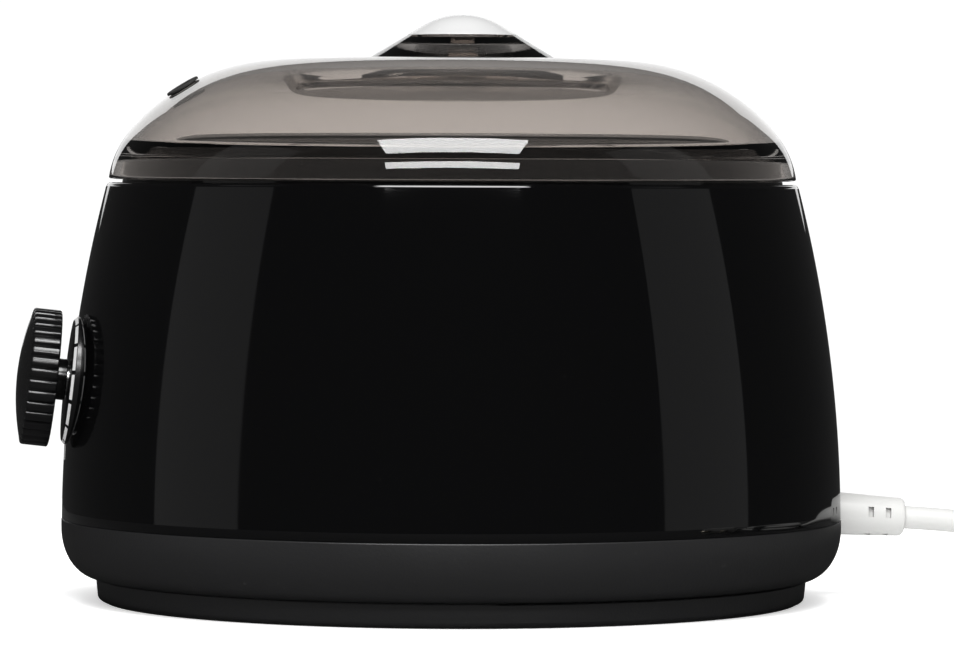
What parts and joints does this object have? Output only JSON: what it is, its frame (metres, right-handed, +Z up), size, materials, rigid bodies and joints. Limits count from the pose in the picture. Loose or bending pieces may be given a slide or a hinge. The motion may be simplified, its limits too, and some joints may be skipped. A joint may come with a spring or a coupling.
{
  "type": "wax warmer pot",
  "caption": "Round tabletop wax warmer with a lift-out pot in a heated well, a clear domed lid with a knob handle, a ribbed temperature knob and a mains lead.",
  "frame": {"origin": "on the body's vertical axis, at the level of the face it stands on", "axes": "+Z up, the control knob faces -X, the mains lead leaves towards +X"},
  "size_m": [0.2956, 0.1808, 0.124],
  "materials": {
    "gloss_black": "gloss",
    "satin_black": "satin",
    "knob_black": "semi-gloss",
    "smoked_clear": "gloss",
    "aluminium": "spun",
    "steel": "bright",
    "heater_steel": "plated",
    "phenolic": "moulded",
    "rubber": "matte",
    "white_plastic": "satin",
    "brass": "plated",
    "insulation": "sleeving"
  },
  "bodies": {
    "root": {"outer_shell": "gloss_black", "base_ring": "satin_black", "bottom_cover": "satin_black", "rubber_foot": "rubber", "base_screws": "steel", "top_ring": "gloss_black", "heating_well": "aluminium", "top_ring_screws": "steel", "heater_band": "heater_steel", "heater_clamp": "heater_steel", "clamp_screw": "steel", "thermal_fuse": "insulation", "fuse_clip": "heater_steel", "fuse_screw": "steel", "dial_plate": "satin_black", "thermostat_plate": "heater_steel", "thermostat_body": "phenolic", "thermostat_screws": "steel", "strain_relief": "white_plastic", "cord_inner_end": "white_plastic", "cord_clamp": "phenolic", "clamp_bar_screws": "steel", "power_cord": "white_plastic", "cord_coil": "white_plastic", "cord_tie": "satin_black", "cord_tail": "white_plastic", "plug_body": "white_plastic", "plug_blades": "brass", "terminal_block": "phenolic", "terminal_screws": "brass", "live_lead": "insulation", "neutral_lead": "insulation", "thermostat_lead": "insulation", "heater_lead": "insulation", "fuse_lead_in": "insulation", "fuse_lead_out": "insulation"},
    "knob": {"control_knob": "knob_black", "thermostat_spindle": "steel"},
    "pot": {"inner_pot": "aluminium", "pot_lugs": "aluminium"},
    "bail": {"bail_handle": "steel"},
    "lid": {"lid_dome": "smoked_clear", "lid_handle": "smoked_clear", "handle_insert": "white_plastic", "vent_grommet": "rubber"}
  },
  "joints": [
    {"name": "knob_turn", "type": "hinge", "parent": "root", "child": "knob", "pos_m": [-0.08067, 0, 0.0466], "axis": [0.994, 0, -0.1093], "range_deg": [0, 270]},
    {"name": "pot_lift", "type": "slide", "parent": "root", "child": "pot", "axis": [0, 0, 1], "range_m": [0, 0.09]},
    {"name": "lid_lift", "type": "slide", "parent": "pot", "child": "lid", "axis": [0, 0, 1], "range_m": [0, 0.2]},
    {"name": "bail_swing", "type": "hinge", "parent": "pot", "child": "bail", "pos_m": [0, 0, 0.0939], "axis": [0, 1, 0], "range_deg": [0, 180]}
  ],
  "couplings": [
    {"joint": "bail_swing", "follows": "lid_lift", "rad_per_m": 15.707}
  ]
}
